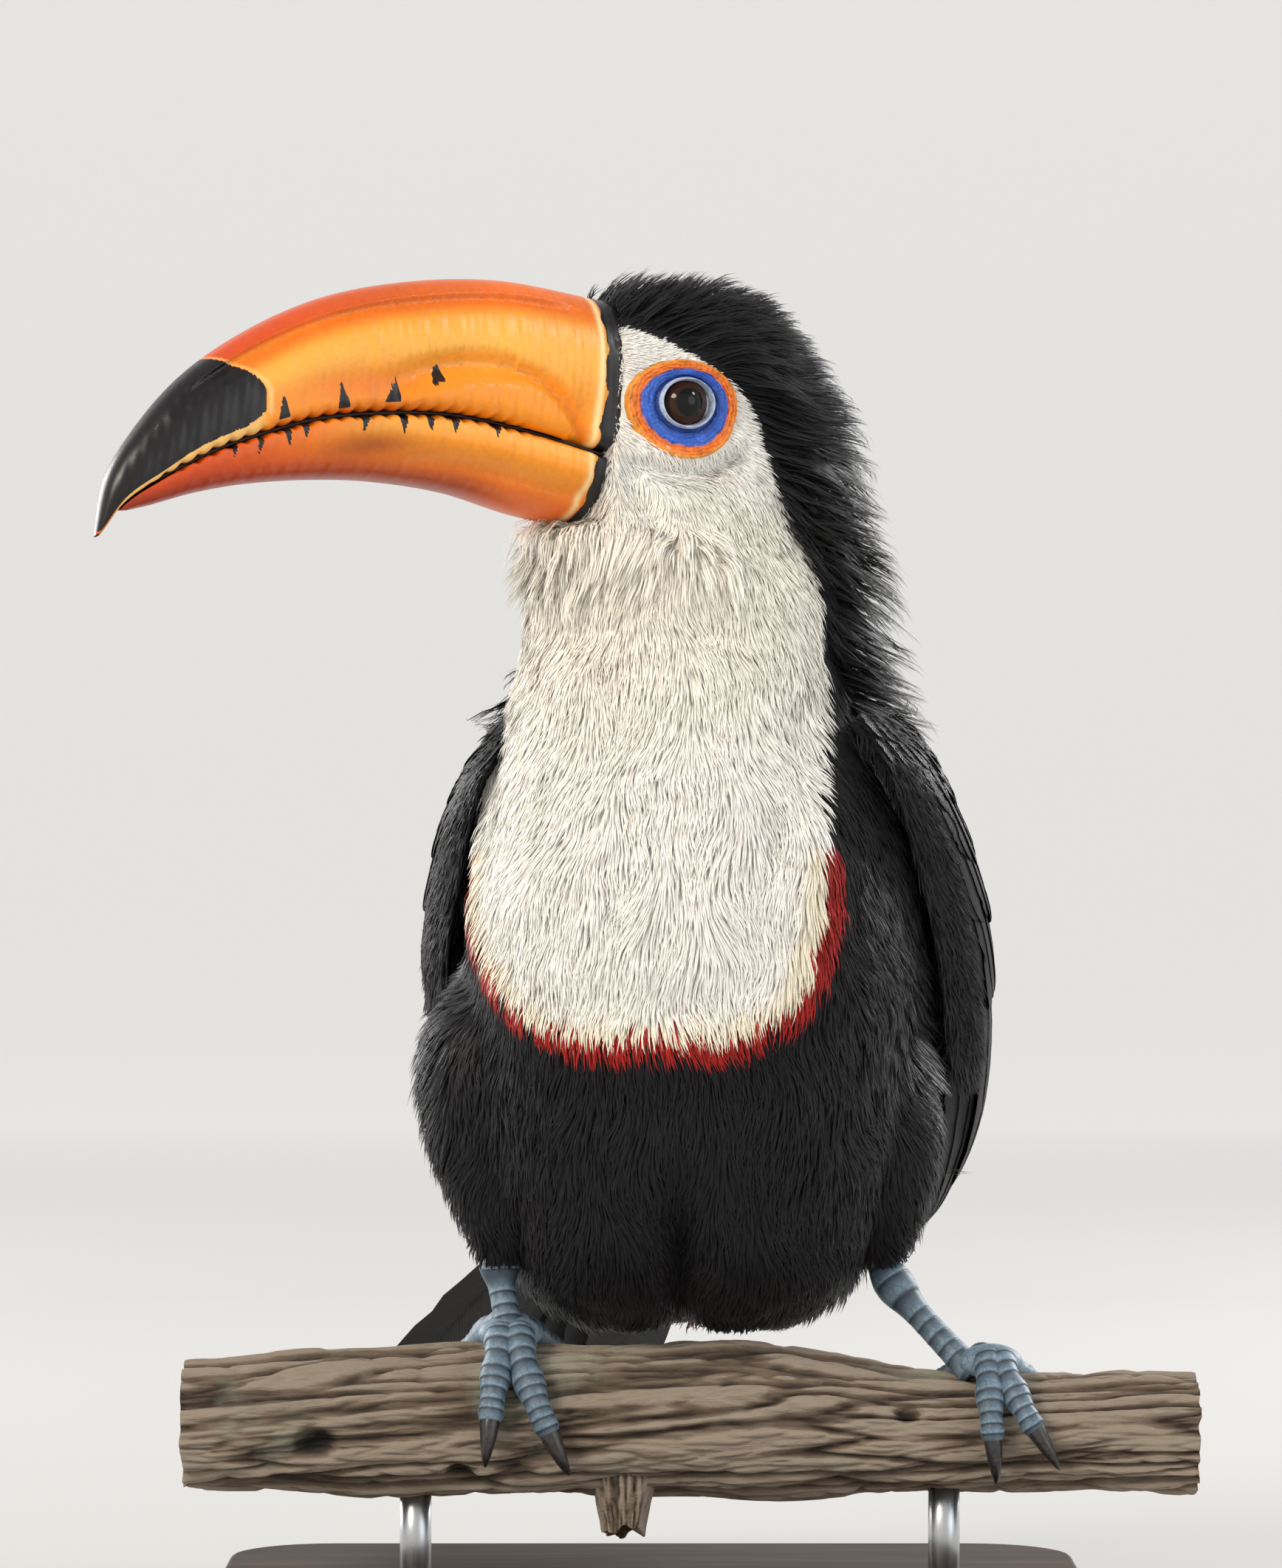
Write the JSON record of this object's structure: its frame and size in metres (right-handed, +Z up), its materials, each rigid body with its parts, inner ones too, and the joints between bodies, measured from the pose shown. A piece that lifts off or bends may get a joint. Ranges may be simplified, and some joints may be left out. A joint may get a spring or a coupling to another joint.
{
  "type": "toco toucan, life-size museum model on a perch stand",
  "caption": "Still life-size model of a toco toucan gripping a cut branch, head turned to its right, held over a flat base by short rods.",
  "frame": {"origin": "centre of the footprint under the bird, on the underside of the stand's base", "axes": "+Z up through the bird, breast facing -Y, the bird's left towards +X along the branch, bill turned towards -X and -Y"},
  "size_m": [0.3048, 0.272, 0.3872],
  "materials": {
    "head_plumage": "black crown and nape locks, white throat and bare orange skin round a blue-ringed eye",
    "bib_plumage": "soft white bib feathers in front, black nape locks behind",
    "black_plumage": "matt to silky black feathers, white bib with a thin red lower edge, white rump, red under the tail",
    "eye": "wet, glossy, dark brown",
    "bill": "satin horn, orange with a redder ridge, a black line at its base and a black spot at its tip",
    "leg_skin": "blue-grey scales",
    "claw": "dark horn",
    "bark": "rough grey-brown bark with long fissures",
    "rod_steel": "brushed along the rod",
    "base_wood": "dark stained, satin lacquer"
  },
  "bodies": {
    "root": {"head": "head_plumage", "neck": "bib_plumage", "torso": "black_plumage", "eye_left": "eye", "eye_right": "eye", "bill_upper": "bill", "bill_lower": "bill", "wing_left": "black_plumage", "wing_right": "black_plumage", "tail": "black_plumage", "thigh_left": "black_plumage", "shank_left": "leg_skin", "foot_left": "leg_skin", "claw_left_1": "claw", "claw_left_2": "claw", "claw_left_3": "claw", "claw_left_4": "claw", "thigh_right": "black_plumage", "shank_right": "leg_skin", "foot_right": "leg_skin", "claw_right_1": "claw", "claw_right_2": "claw", "claw_right_3": "claw", "claw_right_4": "claw", "perch_branch": "bark", "stand_base": "base_wood", "stand_rod_right": "rod_steel", "stand_rod_left": "rod_steel"}
  },
  "joints": []
}
